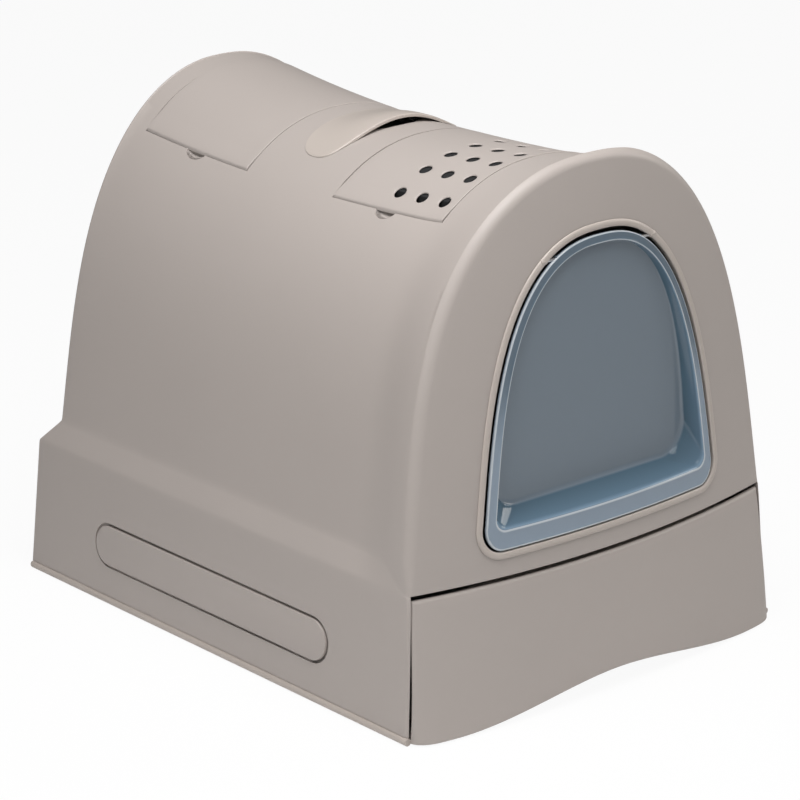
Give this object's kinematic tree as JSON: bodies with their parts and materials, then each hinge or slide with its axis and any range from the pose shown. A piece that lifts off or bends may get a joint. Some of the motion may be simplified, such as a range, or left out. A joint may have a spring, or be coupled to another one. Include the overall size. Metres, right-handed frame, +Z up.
{
  "type": "covered litter box",
  "caption": "Hooded pet litter box with an arched roof, a see-through swing door, a front litter drawer, a vented roof lid, a storage lid and a carry handle.",
  "frame": {"origin": "centre of the rim rectangle on the floor, under the hood", "axes": "+Z up, front with the door and drawer towards -Y, +X to the right when the front is faced"},
  "size_m": [0.4, 0.5135, 0.4261],
  "materials": {
    "shell_plastic": "fine satin, warm taupe grey",
    "tray_plastic": "satin, darker taupe grey",
    "door_plastic": "glossy, slightly see-through slate blue",
    "filter_felt": "black carbon felt",
    "steel": "zinc plated"
  },
  "bodies": {
    "hood": {"hood_shell": "shell_plastic", "base_tray": "shell_plastic", "base_screws": "steel", "door_frame": "shell_plastic", "door_hinge_pins": "steel", "vent_lid_rod": "steel", "rear_lid_rod": "steel", "storage_bin": "tray_plastic", "carry_handle": "shell_plastic", "handle_screws": "steel", "side_insert_left": "shell_plastic", "side_insert_right": "shell_plastic"},
    "drawer": {"drawer_tray": "tray_plastic", "drawer_front": "shell_plastic"},
    "door": {"door_panel": "door_plastic"},
    "vent": {"vent_lid": "shell_plastic", "carbon_filter": "filter_felt", "filter_grille": "tray_plastic"},
    "rear": {"rear_lid": "shell_plastic"}
  },
  "joints": [
    {"name": "drawer_slide", "type": "slide", "parent": "hood", "child": "drawer", "axis": [0, -1, 0], "range_m": [0, 0.38]},
    {"name": "door_swing", "type": "hinge", "parent": "hood", "child": "door", "pos_m": [0, -0.2378, 0.3533], "axis": [1, 0, 0], "range_deg": [-65, 65]},
    {"name": "vent_lid_hinge", "type": "hinge", "parent": "hood", "child": "vent", "pos_m": [0.1005, -0.1695, 0.37414], "axis": [0, 0.9985, -0.0543], "range_deg": [0, 100]},
    {"name": "rear_lid_hinge", "type": "hinge", "parent": "hood", "child": "rear", "pos_m": [0.1005, 0.0655, 0.36653], "axis": [0, 0.9983, 0.0578], "range_deg": [0, 100]}
  ]
}
